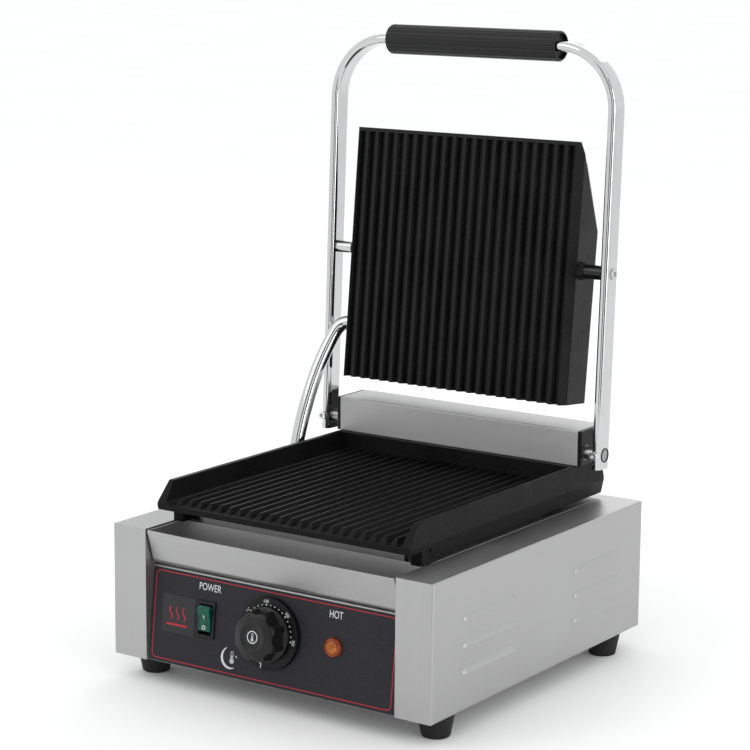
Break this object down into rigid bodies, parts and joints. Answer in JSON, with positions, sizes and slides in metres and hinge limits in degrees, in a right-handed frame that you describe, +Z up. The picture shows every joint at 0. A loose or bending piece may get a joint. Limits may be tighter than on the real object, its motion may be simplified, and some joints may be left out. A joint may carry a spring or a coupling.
{
  "type": "panini press",
  "caption": "Contact grill with ribbed iron plates, the upper one hung in a bent tube handle that leans back open.",
  "frame": {"origin": "on the floor, under the middle of the bounding box with the lid open", "axes": "+Z up, +Y from the control panel to the back, +X to the operator's right"},
  "size_m": [0.2948, 0.3242, 0.4871],
  "materials": {
    "brushed_steel": "brushed along its length",
    "black_film": "fine-grained satin print",
    "label_film": "satin",
    "cast_iron": "dark, lightly oiled casting",
    "chrome": "polished",
    "black_plastic": "moulded, satin",
    "knob_plastic": "moulded, semi-gloss",
    "rubber": "matte",
    "green_lens": "translucent",
    "amber_lens": "translucent, faceted",
    "zinc_screw": "bright zinc",
    "element_steel": "heat-tinted",
    "spring_steel": "oiled wire",
    "bronze_bush": "sintered",
    "mineral_wool": "fibrous",
    "pale_plastic": "moulded"
  },
  "bodies": {
    "base": {"side_panel_right": "brushed_steel", "side_panel_left": "brushed_steel", "deck_plate": "brushed_steel", "back_panel": "brushed_steel", "bottom_plate": "brushed_steel", "rubber_feet": "rubber", "foot_screws": "zinc_screw", "control_panel": "brushed_steel", "panel_overlay": "black_film", "blank_label": "label_film", "switch_housing": "black_plastic", "dial_plate": "black_plastic", "thermostat_body": "pale_plastic", "lamp_lens": "amber_lens", "lamp_holder": "black_plastic", "terminal_block": "pale_plastic", "cord_inlet_bush": "black_plastic", "thermostat_probe": "element_steel", "tray_shelf": "brushed_steel", "lower_plate": "cast_iron", "plate_pegs": "cast_iron", "lower_element": "element_steel", "reflector_pan": "brushed_steel", "lower_insulation": "mineral_wool", "hinge_block": "cast_iron", "hinge_cover": "brushed_steel", "hinge_bushes": "bronze_bush", "counter_springs": "spring_steel", "wiring_conduit": "chrome", "conduit_collar_base": "chrome"},
    "tray": {"drip_tray": "brushed_steel"},
    "rocker": {"switch_rocker": "green_lens"},
    "knob": {"thermostat_knob": "knob_plastic", "thermostat_shaft": "zinc_screw"},
    "arm": {"handle_tube": "chrome", "grip": "black_plastic", "hinge_axle": "zinc_screw", "arm_lock_screws": "zinc_screw", "pivot_bolts": "zinc_screw", "pivot_sleeve_left": "chrome", "pivot_sleeve_right": "black_plastic"},
    "lid": {"upper_plate": "cast_iron", "upper_cover": "brushed_steel", "upper_element": "element_steel", "upper_insulation": "mineral_wool", "cover_screws": "zinc_screw"}
  },
  "joints": [
    {"name": "tray_slide", "type": "slide", "parent": "base", "child": "tray", "axis": [0, -1, 0], "range_m": [0, 0.045]},
    {"name": "switch_rocker", "type": "hinge", "parent": "base", "child": "rocker", "pos_m": [-0.0595, -0.13948, 0.05821], "axis": [-1, 0, 0], "range_deg": [0, 20]},
    {"name": "knob_turn", "type": "hinge", "parent": "base", "child": "knob", "pos_m": [0, -0.13809, 0.05805], "axis": [0, 0.9938, -0.1115], "range_deg": [0, 285]},
    {"name": "handle_hinge", "type": "hinge", "parent": "base", "child": "arm", "pos_m": [0, 0.11485, 0.1631], "axis": [1, 0, 0], "range_deg": [0, 91], "deforming": ["wiring_conduit"]},
    {"name": "plate_pivot", "type": "hinge", "parent": "arm", "child": "lid", "pos_m": [0, 0.12045, 0.3043], "axis": [1, 0, 0], "range_deg": [0, 9]}
  ]
}
